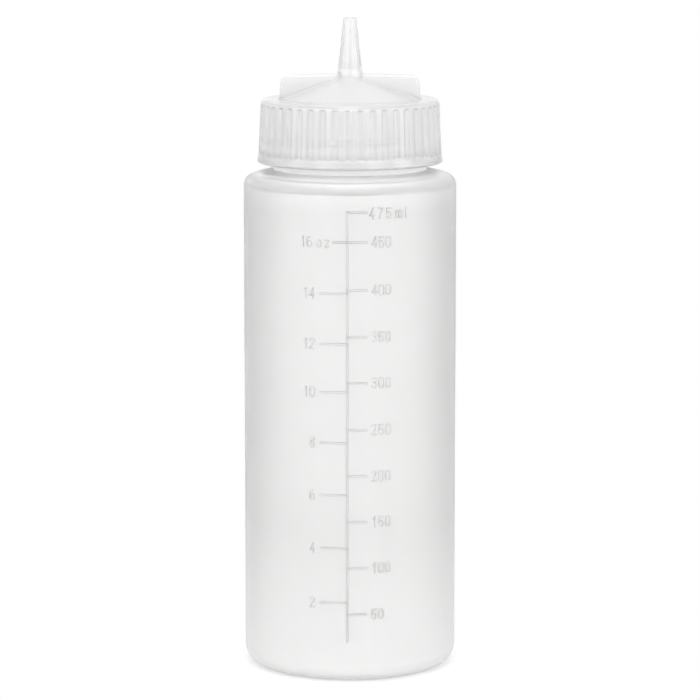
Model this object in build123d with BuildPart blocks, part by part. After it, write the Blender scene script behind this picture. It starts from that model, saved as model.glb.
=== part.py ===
from build123d import *
import math
import os

# Squeeze bottle for sauces: a blow-moulded bottle and a one-piece screw cap with a cone nozzle.
# Millimetres, +Z up. The origin is the centre of the base, on the surface that the bottle stands on.
# The measuring scale's side of the bottle faces -Y, and the cap's grip bar lies along X.

# ---- bottle: body ----
body_radius = 33.57
body_wall = 0.9
base_corner_radius = 5.4
foot_width = 2.4                # flat ring that the bottle stands on
push_up_rise = 2.6              # rise of the base's middle above the foot
push_up_width = 3.4             # of the slope between the foot and the push-up's flat middle
side_height = 153.5             # where the straight side ends and the shoulder's corner starts
shoulder_corner_radius = 3.85
shoulder_slope = 13.5           # degrees that the shoulder falls from the neck to that corner
corner_step = 12                # most degrees that one flat of these two round corners turns

# ---- bottle: neck ----
neck_radius = 24.35
neck_wall = 1.6
neck_height = 20.5              # from the shoulder to the rim

# ---- cap: skirt and deck ----
skirt_clearance = 2.0           # between the neck and the skirt's bore, where the thread runs
skirt_height = 20.1             # from the cap's lower edge to the top of its deck
skirt_wall_top = 1.85           # under the deck
skirt_wall_foot = 2.6           # above the flange
deck_thickness = 1.6
deck_edge_width = 1.4           # the deck's edge falls off in two facets over this width
deck_edge_drop = 1.5
deck_edge_break = 0.3           # share of the width and of the drop where the two facets meet
flange_proud = 0.4              # flange beyond the foot of the skirt
flange_height = 2.8             # from the lower edge to where the flange runs out into the skirt
flange_lip = 0.5                # height of the flange's widest point above the lower edge

# ---- cap: grip flutes in the skirt ----
flute_count = 45
flute_depth = 0.55
flute_width = 2.4
flute_side_slope = 45           # degrees
flute_low_margin = 0.2          # from the flange to a flute's lower end
flute_high_margin = 0.2         # from a flute's upper end to the deck's falling edge
flute_start_angle = -91.6       # degrees from +X, so that a flute lies just left of the front

# ---- cap: cone under the nozzle ----
cone_foot_radius = 21.6
cone_rise = 6.3                 # from the deck to the foot of the nozzle
cone_wall = 1.5

# ---- cap: nozzle ----
nozzle_base_radius = 4.1
nozzle_tip_radius = 2.0
nozzle_height = 19.0            # from the top of the cone to the tip
nozzle_wall = 0.9
nozzle_root_radius = 1.5        # where the nozzle runs into the cone

# ---- cap: grip bar across the cone ----
bar_half_length = 22.25         # at the deck
bar_height = 7.4                # above the deck, at the bar's ends
bar_crown = 0.4                 # how much higher the bar is at the nozzle
bar_thickness = 5.4             # at the deck
bar_end_draft = 4.0             # degrees
bar_face_draft = 2.0            # degrees
bar_corner_radius = 3.2
bar_edge_chamfer = 0.5
bar_wall = 1.3

# ---- cap: plug ring that seals in the neck ----
plug_clearance = 0.25
plug_wall = 1.0
plug_depth = 2.6

# ---- derived places ----
foot_outer = body_radius - base_corner_radius
foot_inner = foot_outer - foot_width
push_up_radius = foot_inner - push_up_width
corner_sweep = 90 - shoulder_slope
base_centre = (foot_outer, base_corner_radius)
corner_centre = (body_radius - shoulder_corner_radius, side_height)
shoulder_fall = math.tan(math.radians(shoulder_slope))
wall_along_slope = body_wall / math.cos(math.radians(shoulder_slope))
neck_bore = neck_radius - neck_wall


def arc_point(centre, radius, degrees):
    """Point on a circle in the section plane."""
    turn = math.radians(degrees)
    return (centre[0] + radius * math.cos(turn), centre[1] + radius * math.sin(turn))


def round_corner(centre, radius, start, end):
    """Points of a round corner in the section plane, from one angle to another in even flats."""
    count = math.ceil((end - start) / corner_step)
    return [arc_point(centre, radius, start + (end - start) * i / count) for i in range(count + 1)]


corner_end = arc_point(corner_centre, shoulder_corner_radius, corner_sweep)
shoulder_height = corner_end[1] + (corner_end[0] - neck_radius) * shoulder_fall
inside_shoulder = corner_end[1] + (corner_end[0] - neck_bore) * shoulder_fall - wall_along_slope
rim_height = shoulder_height + neck_height
deck_under = rim_height         # the cap's land seats on the neck's rim
deck_top = deck_under + deck_thickness
skirt_bottom = deck_top - skirt_height
skirt_bore = neck_radius + skirt_clearance
skirt_top_radius = skirt_bore + skirt_wall_top
skirt_foot_radius = skirt_bore + skirt_wall_foot
flange_radius = skirt_foot_radius + flange_proud
flange_top = skirt_bottom + flange_height
skirt_top = deck_top - deck_edge_drop
skirt_taper = (skirt_foot_radius - skirt_top_radius) / (skirt_top - flange_top)
cone_top = deck_top + cone_rise
cone_angle = math.atan2(cone_rise, cone_foot_radius - nozzle_base_radius)
cone_drop = cone_wall / math.cos(cone_angle)   # the cone's wall, measured straight down
nozzle_tip = cone_top + nozzle_height
plug_radius = neck_bore - plug_clearance
plug_bore = plug_radius - plug_wall
bar_low = deck_under            # the bar's outline starts inside the deck


def lean(height, degrees):
    """Sideways shift of a drafted face over a height."""
    return height * math.tan(math.radians(degrees))


with BuildPart() as bottle:
    inside_base_radius = base_corner_radius - body_wall
    inside_corner_radius = shoulder_corner_radius - body_wall
    with BuildSketch(Plane.XZ) as wall_section:
        with BuildLine():
            outside = Polyline(
                (0, push_up_rise),
                (push_up_radius, push_up_rise),
                (foot_inner, 0),
                *round_corner(base_centre, base_corner_radius, -90, 0),
                *round_corner(corner_centre, shoulder_corner_radius, 0, corner_sweep),
                (neck_radius, shoulder_height),
                (neck_radius, rim_height),
                (neck_bore, rim_height),
                (neck_bore, inside_shoulder),
            )
            # the inside follows one wall further in, with fewer flats for its corners
            Polyline(
                outside @ 1,
                arc_point(corner_centre, inside_corner_radius, corner_sweep),
                (body_radius - body_wall, side_height),
                (body_radius - body_wall, base_corner_radius),
                arc_point(base_centre, inside_base_radius, -45),
                (foot_outer, body_wall),
                (foot_inner, body_wall),
                (push_up_radius, push_up_rise + body_wall),
                (0, push_up_rise + body_wall),
                outside @ 0,
            )
        make_face()
    revolve(axis=Axis.Z)


def bar_profile(inset):
    """Outline of the grip bar from the front, inset by a wall."""
    half_low = bar_half_length - inset + lean(deck_top - bar_low, bar_end_draft)
    half_high = bar_half_length - inset - lean(bar_height - inset, bar_end_draft)
    end_height = deck_top + bar_height - inset
    with BuildSketch(Plane.XZ) as outline:
        with BuildLine():
            Polyline(
                (-half_low, bar_low),
                (-half_high, end_height),
                (0, end_height + bar_crown),
                (half_high, end_height),
                (half_low, bar_low),
                close=True,
            )
        make_face()
        top_corners = outline.vertices().filter_by(lambda v: math.isclose(v.Y, end_height))
        fillet(top_corners, radius=bar_corner_radius - inset)
    return outline.sketch


def bar_section(inset):
    """Section across the grip bar, with its drafted faces, inset by a wall."""
    high = deck_top + bar_height + bar_crown - inset
    half_low = bar_thickness / 2 - inset + lean(deck_top - bar_low, bar_face_draft)
    half_high = bar_thickness / 2 - inset - lean(high - deck_top, bar_face_draft)
    with BuildSketch(Plane.YZ) as section:
        with BuildLine():
            Polyline(
                (-half_low, bar_low), (half_low, bar_low), (half_high, high), (-half_high, high),
                close=True,
            )
        make_face()
    return section.sketch


with BuildPart() as grip_bar:
    extrude(bar_profile(0), amount=bar_thickness, both=True)
    extrude(bar_section(0), amount=2 * bar_half_length, both=True, mode=Mode.INTERSECT)
    underside = grip_bar.faces().sort_by(Axis.Z)[0]
    crown_line = grip_bar.edges().filter_by(Axis.Y)
    chamfer(grip_bar.edges() - underside.edges() - crown_line, length=bar_edge_chamfer)

with BuildPart() as bar_hollow:
    extrude(bar_profile(bar_wall), amount=bar_thickness, both=True)
    extrude(bar_section(bar_wall), amount=2 * bar_half_length, both=True, mode=Mode.INTERSECT)

# one grip flute: a trough that leans with the skirt and ends in a level shelf at both ends
flute_low = flange_top + flute_low_margin
flute_high = skirt_top - flute_high_margin
flute_floor_width = flute_width - 2 * flute_depth / math.tan(math.radians(flute_side_slope))
flute_reach = 0.1               # how far the cutting form stands out of the skirt
flute_reach_width = flute_width + 2 * flute_reach / math.tan(math.radians(flute_side_slope))

with BuildPart() as flute:
    for height in (flute_low, flute_high):
        skirt_radius = skirt_foot_radius - skirt_taper * (height - flange_top)
        floor_radius = skirt_radius - flute_depth
        outer_radius = skirt_radius + flute_reach
        with BuildSketch(Plane.XY.offset(height)):
            with BuildLine():
                Polyline(
                    (floor_radius, -flute_floor_width / 2),
                    (outer_radius, -flute_reach_width / 2),
                    (outer_radius, flute_reach_width / 2),
                    (floor_radius, flute_floor_width / 2),
                    close=True,
                )
            make_face()
    loft(ruled=True)

with BuildPart() as screw_cap:
    # skirt, deck, cone and nozzle as one turned form
    edge_width = deck_edge_break * deck_edge_width
    edge_drop = deck_edge_break * deck_edge_drop
    with BuildSketch(Plane.XZ) as cap_section:
        with BuildLine():
            Polyline(
                (0, skirt_bottom),
                (flange_radius - flange_lip, skirt_bottom),
                (flange_radius, skirt_bottom + flange_lip),
                (skirt_foot_radius, flange_top),
                (skirt_top_radius, skirt_top),
                (skirt_top_radius - edge_width, deck_top - edge_drop),
                (skirt_top_radius - deck_edge_width, deck_top),
                (cone_foot_radius, deck_top),
                (nozzle_base_radius, cone_top),
                (nozzle_tip_radius, nozzle_tip),
                (0, nozzle_tip),
                close=True,
            )
        make_face()
        nozzle_root = cap_section.vertices().sort_by_distance((nozzle_base_radius, cone_top))[0]
        fillet(nozzle_root, radius=nozzle_root_radius)
    revolve(axis=Axis.Z)
    add(grip_bar.part)

    # inside: the skirt's bore, the hollow cone, the nozzle's bore and the hollow bar
    with BuildSketch(Plane.XZ):
        with BuildLine():
            Polyline(
                (0, skirt_bottom),
                (skirt_bore, skirt_bottom),
                (skirt_bore, deck_under),
                (plug_bore, deck_under),
                (nozzle_base_radius - nozzle_wall, cone_top - cone_drop),
                (nozzle_tip_radius - nozzle_wall, nozzle_tip),
                (0, nozzle_tip),
                close=True,
            )
        make_face()
    revolve(axis=Axis.Z, mode=Mode.SUBTRACT)
    add(bar_hollow.part, mode=Mode.SUBTRACT)

    # plug ring that hangs from the land into the neck
    with BuildSketch(Plane.XY.offset(deck_under - plug_depth)):
        Circle(plug_radius)
        Circle(plug_bore, mode=Mode.SUBTRACT)
    extrude(amount=plug_depth)

    with PolarLocations(0, flute_count, start_angle=flute_start_angle):
        add(flute.part, mode=Mode.SUBTRACT)


bottle.part.label = "bottle"
screw_cap.part.label = "screw_cap"

os.makedirs("parts", exist_ok=True)
export_step(bottle.part, "parts/bottle.step")
export_step(screw_cap.part, "parts/screw_cap.step")
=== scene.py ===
import math

import bmesh
import bpy
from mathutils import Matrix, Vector


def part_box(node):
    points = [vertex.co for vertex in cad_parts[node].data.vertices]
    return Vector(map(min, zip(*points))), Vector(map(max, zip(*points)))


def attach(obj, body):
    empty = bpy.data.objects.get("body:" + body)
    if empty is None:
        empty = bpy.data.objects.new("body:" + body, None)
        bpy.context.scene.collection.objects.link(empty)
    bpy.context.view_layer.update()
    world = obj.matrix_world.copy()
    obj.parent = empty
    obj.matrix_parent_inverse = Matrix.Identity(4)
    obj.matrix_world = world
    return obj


# The looks of a squeeze bottle for sauces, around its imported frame. Metres, +Z up. The
# measuring scale faces -Y, and the cap's grip bar lies along X.

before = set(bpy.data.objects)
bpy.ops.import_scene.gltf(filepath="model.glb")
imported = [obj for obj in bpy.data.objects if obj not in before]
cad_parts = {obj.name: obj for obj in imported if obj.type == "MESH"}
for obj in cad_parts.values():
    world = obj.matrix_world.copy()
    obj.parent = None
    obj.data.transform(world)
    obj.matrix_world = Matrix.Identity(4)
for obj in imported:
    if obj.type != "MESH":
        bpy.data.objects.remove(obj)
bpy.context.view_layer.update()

MM = 0.001

# ---- sizes read from the frame ----
bottle_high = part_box("bottle")[1]
cap_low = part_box("screw_cap")[0]
body_radius = bottle_high.x
rim_height = bottle_high.z
skirt_bottom = cap_low.z

# ---- sizes of the bottle that the frame holds but doesn't name ----
base_corner_radius = 5.4 * MM
push_up_rise = 2.6 * MM
side_height = 153.5 * MM
shoulder_corner_radius = 3.85 * MM
shoulder_slope = 13.5           # degrees
neck_radius = 24.35 * MM
skirt_bore = 26.35 * MM


# ---------------------------------------------------------------- mesh helpers

def add_piece(name, mesh, body, material):
    """Puts a mesh into the scene as a smooth piece that rides on a body."""
    piece = bpy.data.objects.new(name, mesh)
    bpy.context.scene.collection.objects.link(piece)
    mesh.materials.append(material)
    mesh.polygons.foreach_set("use_smooth", [True] * len(mesh.polygons))
    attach(piece, body)


def skin(mesh_builder, rings, closed=False):
    """Faces between rings of points in order; open runs of rings get an end face each."""
    made = [[mesh_builder.verts.new(point) for point in ring] for ring in rings]
    count = len(made[0])
    pairs = list(zip(made, made[1:]))
    if closed:
        pairs.append((made[-1], made[0]))
    for first, second in pairs:
        for i in range(count):
            j = (i + 1) % count
            mesh_builder.faces.new((first[i], first[j], second[j], second[i]))
    if not closed:
        mesh_builder.faces.new(reversed(made[0]))
        mesh_builder.faces.new(made[-1])


def finish_mesh(name, mesh_builder):
    """The builder's faces as a mesh, all facing outwards."""
    bmesh.ops.recalc_face_normals(mesh_builder, faces=mesh_builder.faces)
    mesh = bpy.data.meshes.new(name)
    mesh_builder.to_mesh(mesh)
    mesh_builder.free()
    return mesh


def tangents(points, closed=False):
    """Unit direction of a run of points at each point."""
    count = len(points)
    found = []
    for i in range(count):
        before = points[i - 1] if closed or i else points[0]
        after = points[(i + 1) % count] if closed or i + 1 < count else points[-1]
        found.append((after - before).normalized())
    return found


BEAD_STEPS = 6                  # sides of a bead's round back
END_STEPS = 3                   # rings that close each end of an open bead
END_STOP = 0.4                  # of a step, by which the last ring stays short of a point


def bead(mesh_builder, points, normals, width, height, sink, closed=False):
    """A raised line with a round back along points of a surface, its foot sunk below it."""
    directions = tangents(points, closed)

    def ring(point, normal, direction, size, forward):
        side = normal.cross(direction).normalized()
        outline = [(-width / 2 * size, -sink)]
        for step in range(BEAD_STEPS + 1):
            turn = math.pi * step / BEAD_STEPS
            outline.append((-math.cos(turn) * width / 2 * size, math.sin(turn) * height * size))
        outline.append((width / 2 * size, -sink))
        return [point + direction * forward + side * x + normal * y for x, y in outline]

    rings = [
        ring(point, normal, direction, 1, 0)
        for point, normal, direction in zip(points, normals, directions)
    ]
    if not closed:
        for step in range(1, END_STEPS + 1):
            turn = math.pi / 2 * step / (END_STEPS + END_STOP)
            size, reach = math.cos(turn), math.sin(turn) * width / 2
            rings.insert(0, ring(points[0], normals[0], directions[0], size, -reach))
            rings.append(ring(points[-1], normals[-1], directions[-1], size, reach))
    skin(mesh_builder, rings, closed)


# ---------------------------------------------------------------- materials

PLASTIC_IOR = 1.5
CLOUD_SCALE = 22                # of the noise in the colour, per metre
GLOSS_SCALE = 90                # of the noise in the roughness, per metre
GLOSS_SPREAD = 0.03             # the roughness varies by that much to either side


def moulded_plastic(name, colour, shade, roughness, clearness, haze, grain, grain_depth):
    """Satin moulded plastic that lets light through: cloudy colour, uneven gloss, a fine skin."""
    material = bpy.data.materials.new(name)
    material.use_nodes = True
    nodes, links = material.node_tree.nodes, material.node_tree.links
    shader = nodes["Principled BSDF"]
    place = nodes.new("ShaderNodeTexCoord")

    def noise(scale, detail):
        texture = nodes.new("ShaderNodeTexNoise")
        texture.inputs["Scale"].default_value = scale
        texture.inputs["Detail"].default_value = detail
        links.new(place.outputs["Object"], texture.inputs["Vector"])
        return texture.outputs["Fac"]

    tint = nodes.new("ShaderNodeMix")
    tint.data_type = "RGBA"
    tint.inputs["A"].default_value = (*colour, 1)
    tint.inputs["B"].default_value = (*shade, 1)
    links.new(noise(CLOUD_SCALE, 2), tint.inputs["Factor"])
    links.new(tint.outputs["Result"], shader.inputs["Base Color"])

    gloss = nodes.new("ShaderNodeMapRange")
    gloss.inputs["To Min"].default_value = roughness - GLOSS_SPREAD
    gloss.inputs["To Max"].default_value = roughness + GLOSS_SPREAD
    links.new(noise(GLOSS_SCALE, 3), gloss.inputs["Value"])
    links.new(gloss.outputs["Result"], shader.inputs["Roughness"])

    skin_bump = nodes.new("ShaderNodeBump")
    skin_bump.inputs["Strength"].default_value = 1
    skin_bump.inputs["Distance"].default_value = grain_depth
    links.new(noise(grain, 2), skin_bump.inputs["Height"])
    links.new(skin_bump.outputs["Normal"], shader.inputs["Normal"])

    shader.inputs["IOR"].default_value = PLASTIC_IOR
    shader.inputs["Transmission Weight"].default_value = clearness

    # light lost along the way through the wall, which darkens the edges that are seen along it;
    # the mid grey halves the density, so the haze is the share lost per metre
    loss = nodes.new("ShaderNodeVolumeAbsorption")
    loss.inputs["Color"].default_value = (0.5, 0.5, 0.5, 1)
    loss.inputs["Density"].default_value = 2 * haze
    links.new(loss.outputs["Volume"], nodes["Material Output"].inputs["Volume"])
    return material


CLEARNESS_SPAN = 200 * MM       # height that the run of clearness below is spread over


def clearness_by_height(material, stops):
    """Clearness of the wall, run by height through (height, clearness) stops."""
    nodes, links = material.node_tree.nodes, material.node_tree.links
    place = nodes.new("ShaderNodeTexCoord")
    height = nodes.new("ShaderNodeSeparateXYZ")
    links.new(place.outputs["Object"], height.inputs["Vector"])
    share = nodes.new("ShaderNodeMath")
    share.operation = "DIVIDE"
    share.inputs[1].default_value = CLEARNESS_SPAN
    links.new(height.outputs["Z"], share.inputs[0])
    ramp = nodes.new("ShaderNodeValToRGB")
    places = ramp.color_ramp.elements
    places.remove(places[1])
    for index, (up, clearness) in enumerate(stops):
        stop = places[0] if index == 0 else places.new(up / CLEARNESS_SPAN)
        stop.position = up / CLEARNESS_SPAN
        stop.color = (clearness, clearness, clearness, 1)
    links.new(share.outputs["Value"], ramp.inputs["Fac"])
    links.new(ramp.outputs["Color"], nodes["Principled BSDF"].inputs["Transmission Weight"])


bottle_plastic = moulded_plastic(
    "natural_polyethylene", (0.985, 0.985, 0.982), (0.975, 0.975, 0.972), 0.35, 0.96, 9, 900,
    0.008 * MM,
)
# the blown wall is thick and milky at the foot of the body and at the foot of the neck; the milky
# wall there is also set to lift the shade near the base and under the cap's skirt, and the dip in
# clearness just below the shoulder's corner paints a highlight band there
clearness_by_height(bottle_plastic, [
    (0, 0.58), (10 * MM, 0.64), (50 * MM, 0.88), (90 * MM, 0.92), (148 * MM, 0.94),
    (151.5 * MM, 0.85), (154 * MM, 0.83), (156.2 * MM, 0.9), (157 * MM, 0.75),
    (158 * MM, 0.1), (160.5 * MM, 0.15), (162.5 * MM, 0.9), (180 * MM, 0.93),
])
mark_plastic = moulded_plastic(
    "natural_polyethylene_marks", (0.97, 0.97, 0.97), (0.96, 0.96, 0.96), 0.3, 0.8, 30, 900,
    0.004 * MM,
)
cap_plastic = moulded_plastic(
    "cap_polyethylene", (0.985, 0.985, 0.985), (0.975, 0.975, 0.975), 0.17, 0.6, 60, 1100,
    0.005 * MM,
)
# the nozzle is thin and clearer; the clearer open end of the skirt is painted light, set to lift
# the shade in the groove under the cap's flange
clearness_by_height(cap_plastic, [
    (160.5 * MM, 0.76), (166 * MM, 0.6), (189 * MM, 0.6), (192 * MM, 0.8),
])


# ---------------------------------------------------------------- bottle

def on_body(across, height):
    """Point and normal of the body's wall, from the distance round the wall and the height."""
    turn = across / body_radius
    normal = Vector((math.sin(turn), -math.cos(turn), 0))
    return normal * body_radius + Vector((0, 0, height)), normal


def round_the_wall(across_seen):
    """Distance round the wall of a place that lies that far sideways, seen from the front."""
    return body_radius * math.asin(across_seen / body_radius)


def wall_line(mesh_builder, places, width, height, sink, closed=False):
    """A raised line on the wall through (distance round, height) places."""
    spots = [on_body(across, up) for across, up in places]
    bead(mesh_builder, [s[0] for s in spots], [s[1] for s in spots], width, height, sink, closed)


def arc(middle_x, middle_y, radius_x, radius_y, start, end, step=20):
    """Points of an elliptical arc between two angles in degrees."""
    count = max(2, math.ceil(abs(end - start) / step))
    turns = [math.radians(start + (end - start) * i / count) for i in range(count + 1)]
    return [(middle_x + radius_x * math.cos(t), middle_y + radius_y * math.sin(t)) for t in turns]


DIGIT_WIDTH = 0.46              # of a numeral's height, between the middles of its strokes
half = DIGIT_WIDTH / 2
low_bowl = 0.29                 # half height of the lower bowl of 3, 5, 6 and 8
high_bowl = 0.5 - low_bowl
smalls = 0.66                   # height of small letters

# each glyph: its width and its strokes, which are runs of points in a box one high
GLYPHS = {
    "0": (DIGIT_WIDTH, [
        arc(half, 1 - half, half, half, 0, 180)
        + arc(half, half, half, half, 180, 360) + [(DIGIT_WIDTH, 1 - half)]
    ]),
    "1": (0.12, [[(0, 0.80), (0.12, 1)], [(0.12, 1), (0.12, 0)]]),
    "2": (DIGIT_WIDTH, [
        arc(half, 1 - half, half, half, 165, -35) + [(0, 0)], [(0, 0), (DIGIT_WIDTH, 0)]
    ]),
    "3": (DIGIT_WIDTH, [
        arc(half, 1 - high_bowl, half, high_bowl, 150, -90),
        arc(half, low_bowl, half, low_bowl, 90, -150),
    ]),
    "4": (DIGIT_WIDTH, [
        [(0.35, 0), (0.35, 1)], [(0.35, 1), (0, 0.28)], [(0, 0.28), (DIGIT_WIDTH, 0.28)]
    ]),
    "5": (DIGIT_WIDTH, [
        [(DIGIT_WIDTH, 1), (0.04, 1)],
        [(0.04, 1), (0, 0.5)],
        [(0, 0.5)] + arc(half, low_bowl, half, low_bowl, 110, -155),
    ]),
    "6": (DIGIT_WIDTH, [
        arc(half, low_bowl, half, low_bowl, 180, -180),
        arc(half, low_bowl, half, 1 - low_bowl, 180, 65),
    ]),
    "7": (DIGIT_WIDTH, [[(0, 1), (DIGIT_WIDTH, 1)], [(DIGIT_WIDTH, 1), (0.12, 0)]]),
    "8": (DIGIT_WIDTH, [
        arc(half, low_bowl, half, low_bowl, 90, 450),
        arc(half, 1 - high_bowl, half * 0.9, high_bowl, -90, 270),
    ]),
    "o": (DIGIT_WIDTH, [arc(half, smalls / 2, half, smalls / 2, 90, 450)]),
    "z": (0.36, [
        [(0, smalls), (0.36, smalls)], [(0.36, smalls), (0, 0)], [(0, 0), (0.36, 0)]
    ]),
    "m": (0.60, [
        [(0, 0), (0, smalls)],
        arc(0.15, smalls - 0.15, 0.15, 0.15, 180, 0) + [(0.30, 0)],
        arc(0.45, smalls - 0.15, 0.15, 0.15, 180, 0) + [(0.60, 0)],
    ]),
    "l": (0.10, [[(0.05, 0), (0.05, 1)]]),
    " ": (-0.26, []),           # amount and unit stand close
}

numeral_height = 3.10 * MM      # between the middles of the strokes
stroke_width = 0.50 * MM
stroke_height = 0.22 * MM
line_width = 0.75 * MM
line_height = 0.24 * MM
sink = 0.12 * MM
glyph_gap = 0.42                # of the numerals' height
digit_pitch = 0.735             # of the numerals' height, where digits stand in equal cells

# places across, seen from the front
scale_line = -0.87 * MM
right_tick_end = 5.1 * MM
left_tick_end = -9.1 * MM
highest_left_tick_end = -5.2 * MM
right_numbers = 6.85 * MM       # left edge of the millilitre numbers
full_number = 6.05 * MM         # left edge of the highest one
left_numbers = -11.2 * MM       # right edge of the ounce numbers
highest_left_number = -6.6 * MM
full_number_drop = 0.4 * MM     # the highest millilitre number stands that much below its tick
line_low, line_high = 13.4 * MM, 148.5 * MM
TICK_STEPS, LINE_STEPS = 8, 24

# heights of the marks on the body, in millimetres
FULL, HIGHEST_OUNCES = 475, 16
MILLILITRES = {
    475: 148.5, 450: 139.2, 400: 124.3, 350: 109.7, 300: 95.2,
    250: 80.5, 200: 65.9, 150: 51.4, 100: 36.8, 50: 22.0,
}
OUNCES = {16: 139.2, 14: 123.2, 12: 107.5, 10: 92.4, 8: 76.5, 6: 59.9, 4: 43.0, 2: 25.7}


def text_width(text, cells):
    """Width of a text over the numerals' height."""
    if cells:
        return digit_pitch * (len(text) - 1) + DIGIT_WIDTH
    return sum(GLYPHS[c][0] for c in text) + glyph_gap * (len(text) - 1)


def emboss_text(mesh_builder, text, left, height, cells):
    """Numerals and letters on the wall, their left edge and middle height given."""
    across = left
    for character in text:
        width, strokes = GLYPHS[character]
        shift = (DIGIT_WIDTH - width) / 2 if cells else 0
        for stroke in strokes:
            places = [
                (across + (x + shift) * numeral_height, height + (y - 0.5) * numeral_height)
                for x, y in stroke
            ]
            closed = math.dist(places[0], places[-1]) < 0.01 * MM
            if closed:
                places.pop()
            wall_line(mesh_builder, places, stroke_width, stroke_height, sink, closed)
        across += (digit_pitch if cells else width + glyph_gap) * numeral_height


def tick(mesh_builder, start, end, height):
    """A short level line of the scale, along the wall."""
    low, high = round_the_wall(start), round_the_wall(end)
    places = [(low + (high - low) * i / TICK_STEPS, height) for i in range(TICK_STEPS + 1)]
    wall_line(mesh_builder, places, line_width, line_height, sink)


def scale_piece(name, build):
    """A raised piece of the measuring scale, filled in by build."""
    mesh_builder = bmesh.new()
    build(mesh_builder)
    mesh = finish_mesh(name, mesh_builder)
    add_piece(name, mesh, "bottle", mark_plastic)


def build_line(mesh_builder):
    """The upright line that the ticks of both scales start from."""
    across, rise = round_the_wall(scale_line), line_high - line_low
    places = [(across, line_low + rise * i / LINE_STEPS) for i in range(LINE_STEPS + 1)]
    wall_line(mesh_builder, places, line_width, line_height, sink)


scale_piece("scale_line", build_line)
for amount, height in MILLILITRES.items():
    def build_mark(mesh_builder, amount=amount, height=height):
        tick(mesh_builder, scale_line, right_tick_end, height * MM)
        full = amount == FULL
        text = f"{amount} ml" if full else str(amount)
        left = round_the_wall(full_number if full else right_numbers)
        middle = height * MM - (full_number_drop if full else 0)
        emboss_text(mesh_builder, text, left, middle, cells=not full)
    scale_piece(f"scale_{amount:03d}_ml", build_mark)
for amount, height in OUNCES.items():
    def build_mark(mesh_builder, amount=amount, height=height):
        highest = amount == HIGHEST_OUNCES
        text = f"{amount} oz" if highest else str(amount)
        start = highest_left_tick_end if highest else left_tick_end
        edge = highest_left_number if highest else left_numbers
        tick(mesh_builder, start, scale_line, height * MM)
        left = round_the_wall(edge) - text_width(text, False) * numeral_height
        emboss_text(mesh_builder, text, left, height * MM, cells=False)
    scale_piece(f"scale_{amount:02d}_oz", build_mark)


# ---------------------------------------------------------------- traces of the mould

parting_width = 0.3 * MM
parting_height = 0.07 * MM
pinch_length = 38 * MM          # weld line across the base where the mould pinched the tube shut
pinch_width = 0.8 * MM
pinch_height = 0.25 * MM
PINCH_STEPS = 12
FOOT_START, FOOT_STEP = -70, 7  # degrees round the foot's corner
SHOULDER_STEPS = 8
rim_clearance = 0.4 * MM        # the neck's parting line ends that far below the rim


def profile_place(side, radius, height, degrees):
    """Point of the bottle's outside at +X or -X, and its normal, which rises by an angle."""
    turn = math.radians(degrees)
    return Vector((side * radius, 0, height)), Vector((side * math.cos(turn), 0, math.sin(turn)))


def build_parting(mesh_builder, side):
    """Parting line from the foot over the side and the shoulder, and one up the neck."""
    foot_radius = body_radius - base_corner_radius
    corner_radius = body_radius - shoulder_corner_radius
    spots = []
    for degrees in range(FOOT_START, 1, FOOT_STEP):
        turn = math.radians(degrees)
        out, up = math.cos(turn) * base_corner_radius, math.sin(turn) * base_corner_radius
        spots.append(profile_place(side, foot_radius + out, base_corner_radius + up, degrees))
    sweep = 90 - shoulder_slope
    for step in range(SHOULDER_STEPS + 1):
        degrees = sweep * step / SHOULDER_STEPS
        turn = math.radians(degrees)
        out, up = math.cos(turn) * shoulder_corner_radius, math.sin(turn) * shoulder_corner_radius
        spots.append(profile_place(side, corner_radius + out, side_height + up, degrees))
    last, normal = spots[-1]
    fall = math.tan(math.radians(shoulder_slope))
    reach = abs(last.x) - neck_radius
    spots.append((last + Vector((-side * reach, 0, reach * fall)), normal))
    bead(
        mesh_builder, [s[0] for s in spots], [s[1] for s in spots],
        parting_width, parting_height, sink,
    )
    neck_foot = spots[-1][0].z
    neck = [profile_place(side, neck_radius, neck_foot, 0)]
    neck.append(profile_place(side, neck_radius, rim_height - rim_clearance, 0))
    bead(
        mesh_builder, [s[0] for s in neck], [s[1] for s in neck],
        parting_width, parting_height, sink,
    )


for side, name in ((1, "parting_line_right"), (-1, "parting_line_left")):
    mesh_builder = bmesh.new()
    build_parting(mesh_builder, side)
    mesh = finish_mesh(name, mesh_builder)
    add_piece(name, mesh, "bottle", mark_plastic)

mesh_builder = bmesh.new()
bead(
    mesh_builder,
    [
        Vector((pinch_length * (i / PINCH_STEPS - 0.5), 0, push_up_rise))
        for i in range(PINCH_STEPS + 1)
    ],
    [Vector((0, 0, -1))] * (PINCH_STEPS + 1),
    pinch_width, pinch_height, sink,
)
mesh = finish_mesh("pinch_off_line", mesh_builder)
add_piece("pinch_off_line", mesh, "bottle", mark_plastic)


# ---------------------------------------------------------------- threads

thread_pitch = 4.23 * MM        # six turns to the inch
neck_thread_turns = 1.75
neck_thread_reach = 1.4 * MM    # out of the neck
neck_thread_start = skirt_bottom + 5.25 * MM    # height of its lower end
cap_thread_turns = 1.5
cap_thread_reach = 1.5 * MM     # into the skirt's bore
thread_root, thread_crest = 2.1 * MM, 0.9 * MM
thread_offset = -1.45 * MM      # the cap's thread lies that far below the neck's
run_out = 28                    # degrees over which a thread's ends fade
faded_size = 0.06               # of the full section, at its very ends
flank_reach = 0.8               # of the reach, where the flanks turn into the crest
crest_round = 0.12 * MM         # what each side of the crest widens by there
STEPS_A_TURN = 80
neck_thread_from, cap_thread_from = -100, -226  # degrees at which the threads start
cap_thread_lead = 0.35          # of a pitch; the cap's thread starts that much lower still


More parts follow.
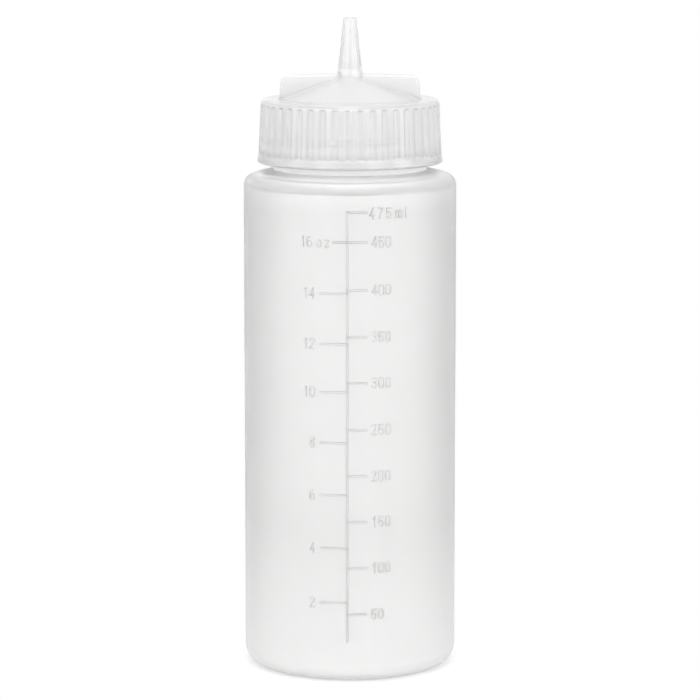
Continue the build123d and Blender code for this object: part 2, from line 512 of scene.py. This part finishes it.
def thread(name, body, material, radius, reach, low, start, turns):
    """Raised right-hand helix on a round wall; a negative reach points inwards."""
    outward = 1 if reach > 0 else -1
    steps = round(turns * STEPS_A_TURN)
    rings = []
    for step in range(steps + 1):
        degrees = start + 360 * turns * step / steps
        turn = math.radians(degrees)
        height = low + thread_pitch * (degrees - start) / 360
        fade = min(1, (degrees - start) / run_out, (start + 360 * turns - degrees) / run_out)
        size = faded_size + (1 - faded_size) * math.sin(math.pi / 2 * fade) ** 2
        section = [
            (radius - outward * sink, -thread_root / 2),
            (radius, -thread_root / 2),
            (radius + reach * flank_reach * size, -thread_crest / 2 - crest_round),
            (radius + reach * size, -thread_crest / 4),
            (radius + reach * size, thread_crest / 4),
            (radius + reach * flank_reach * size, thread_crest / 2 + crest_round),
            (radius, thread_root / 2),
            (radius - outward * sink, thread_root / 2),
        ]
        around = Vector((math.cos(turn), math.sin(turn), 0))
        rings.append([around * r + Vector((0, 0, height + z)) for r, z in section])
    mesh_builder = bmesh.new()
    skin(mesh_builder, rings)
    mesh = finish_mesh(name, mesh_builder)
    add_piece(name, mesh, body, material)


thread(
    "neck_thread", "bottle", bottle_plastic,
    neck_radius, neck_thread_reach, neck_thread_start, neck_thread_from, neck_thread_turns,
)
thread(
    "cap_thread", "cap", cap_plastic,
    skirt_bore, -cap_thread_reach,
    neck_thread_start + thread_offset - thread_pitch * cap_thread_lead,
    cap_thread_from, cap_thread_turns,
)


# ---------------------------------------------------------------- frame nodes

weld_distance = 0.001 * MM
rounding = 0.35 * MM            # of the bottle's edges
sharp_edge = math.radians(25)   # edges that turn by more are rounded
cap_voxel = 0.22 * MM
CAP_SMOOTHING = 8               # passes
CAP_FACES_KEPT = 0.25           # of the faces that the smoothing leaves


def weld(item):
    """Joins the frame's faces along their shared edges."""
    modifier = item.modifiers.new("weld", "WELD")
    modifier.merge_threshold = weld_distance


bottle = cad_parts["bottle"]
bottle.data.materials[0] = bottle_plastic
weld(bottle)
rounded = bottle.modifiers.new("rounded_edges", "BEVEL")
rounded.width = rounding
rounded.segments = 3
rounded.limit_method = "ANGLE"
rounded.angle_limit = sharp_edge
shading = bottle.modifiers.new("even_shading", "WEIGHTED_NORMAL")
shading.weight = 100

# the cap's edges and roots are softened as they leave the mould
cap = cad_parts["screw_cap"]
cap.data.materials[0] = cap_plastic
weld(cap)
soft = cap.modifiers.new("soft_edges", "REMESH")
soft.mode = "VOXEL"
soft.voxel_size = cap_voxel
soft.use_smooth_shade = True
smooth = cap.modifiers.new("smooth", "SMOOTH")
smooth.factor = 0.5
smooth.iterations = CAP_SMOOTHING
fewer = cap.modifiers.new("fewer_faces", "DECIMATE")
fewer.ratio = CAP_FACES_KEPT
level = cap.modifiers.new("even_shading", "WEIGHTED_NORMAL")
level.weight = 50


# ---------------------------------------------------------------- floor, light and camera

def seen_rays(nodes, links, camera_share=None):
    """1 for rays that show the surroundings: straight, mirrored or through plastic."""
    path = nodes.new("ShaderNodeLightPath")
    total = path.outputs["Is Camera Ray"]
    if camera_share:
        less = nodes.new("ShaderNodeMath")
        less.operation = "MULTIPLY"
        links.new(total, less.inputs[0])
        links.new(camera_share, less.inputs[1])
        total = less.outputs["Value"]
    for kind in ("Is Glossy Ray", "Is Transmission Ray"):
        add = nodes.new("ShaderNodeMath")
        add.use_clamp = True
        links.new(total, add.inputs[0])
        links.new(path.outputs[kind], add.inputs[1])
        total = add.outputs["Value"]
    return total


# distance from the axis over which the floor's own shading gives way to plain white
contact_inner, contact_outer = 28.5 * MM, 37 * MM


def white_floor(name, colour, near_share):
    """Matt floor that shows plain white and keeps part of its shadows near the bottle."""
    material = bpy.data.materials.new(name)
    material.use_nodes = True
    nodes, links = material.node_tree.nodes, material.node_tree.links
    nodes.remove(nodes["Principled BSDF"])
    matt = nodes.new("ShaderNodeBsdfDiffuse")
    matt.inputs["Color"].default_value = (*colour, 1)
    white = nodes.new("ShaderNodeEmission")
    white.inputs["Strength"].default_value = 1
    place = nodes.new("ShaderNodeTexCoord")
    distance = nodes.new("ShaderNodeVectorMath")
    distance.operation = "LENGTH"
    links.new(place.outputs["Object"], distance.inputs[0])
    nearness = nodes.new("ShaderNodeMapRange")
    nearness.inputs["From Min"].default_value = contact_inner
    nearness.inputs["From Max"].default_value = contact_outer
    nearness.inputs["To Min"].default_value = near_share
    nearness.inputs["To Max"].default_value = 1
    links.new(distance.outputs["Value"], nearness.inputs["Value"])
    blend = nodes.new("ShaderNodeMixShader")
    links.new(seen_rays(nodes, links, nearness.outputs["Result"]), blend.inputs["Fac"])
    links.new(matt.outputs["BSDF"], blend.inputs[1])
    links.new(white.outputs["Emission"], blend.inputs[2])
    links.new(blend.outputs["Shader"], nodes["Material Output"].inputs["Surface"])
    return material


def disc(name, radius, material):
    """Flat round floor at height 0."""
    mesh_builder = bmesh.new()
    bmesh.ops.create_circle(mesh_builder, cap_ends=True, segments=96, radius=radius)
    mesh = bpy.data.meshes.new(name)
    mesh_builder.to_mesh(mesh)
    mesh_builder.free()
    mesh.materials.append(material)
    floor = bpy.data.objects.new(name, mesh)
    bpy.context.scene.collection.objects.link(floor)


disc("floor", 12, white_floor("floor_white", (0.9, 0.9, 0.9), 0.3))


def world_light(strength):
    """Even white surroundings: plain white where they are seen, softer as a light."""
    world = bpy.data.worlds.new("studio")
    bpy.context.scene.world = world
    world.use_nodes = True
    nodes, links = world.node_tree.nodes, world.node_tree.links
    ground = nodes["Background"]
    ground.inputs["Color"].default_value = (1, 1, 1, 1)
    level = nodes.new("ShaderNodeMapRange")
    level.inputs["To Min"].default_value = strength
    level.inputs["To Max"].default_value = 1
    links.new(seen_rays(nodes, links), level.inputs["Value"])
    links.new(level.outputs["Result"], ground.inputs["Strength"])


lamp_target = (0, 0, 0.1)


def softbox(name, place, size, watts):
    """An area lamp that faces the middle of the bottle."""
    lamp = bpy.data.lights.new(name, "AREA")
    lamp.shape = "RECTANGLE"
    lamp.size, lamp.size_y = size
    lamp.energy = watts
    item = bpy.data.objects.new(name, lamp)
    bpy.context.scene.collection.objects.link(item)
    item.location = place
    aim = Vector(lamp_target) - Vector(place)
    item.rotation_euler = aim.to_track_quat("-Z", "Y").to_euler()


world_light(0.68)
softbox("front_high", (0, -1.2, 1.4), (0.8, 0.8), 7)
softbox("front_left", (-0.9, -1.4, 0.6), (0.7, 0.9), 6)
softbox("front_right", (0.9, -1.4, 0.6), (0.7, 0.9), 5)
softbox("left", (-1.6, -0.6, 0.5), (0.7, 0.9), 4.5)
softbox("right", (1.6, -0.6, 0.5), (0.7, 0.9), 6)
softbox("top", (0, 0, 1.6), (1.2, 1.2), 12)


# the camera fitted to the photograph's outline
focal_pixels, frame_pixels = 3432.2, 700
camera_place = (0, -1081.2 * MM, 267.0 * MM)
camera_tilt = 8.75              # degrees down
sensor = 36                     # millimetres


def photo_camera():
    """Camera of the reference view: long lens, a little above the bottle, looking down at it."""
    data = bpy.data.cameras.new("camera")
    data.sensor_width = sensor
    data.lens = focal_pixels * sensor / frame_pixels
    camera = bpy.data.objects.new("camera", data)
    bpy.context.scene.collection.objects.link(camera)
    camera.location = camera_place
    camera.rotation_euler = (math.radians(90 - camera_tilt), 0, 0)
    bpy.context.scene.camera = camera


photo_camera()
bpy.context.scene.view_settings.view_transform = "Standard"
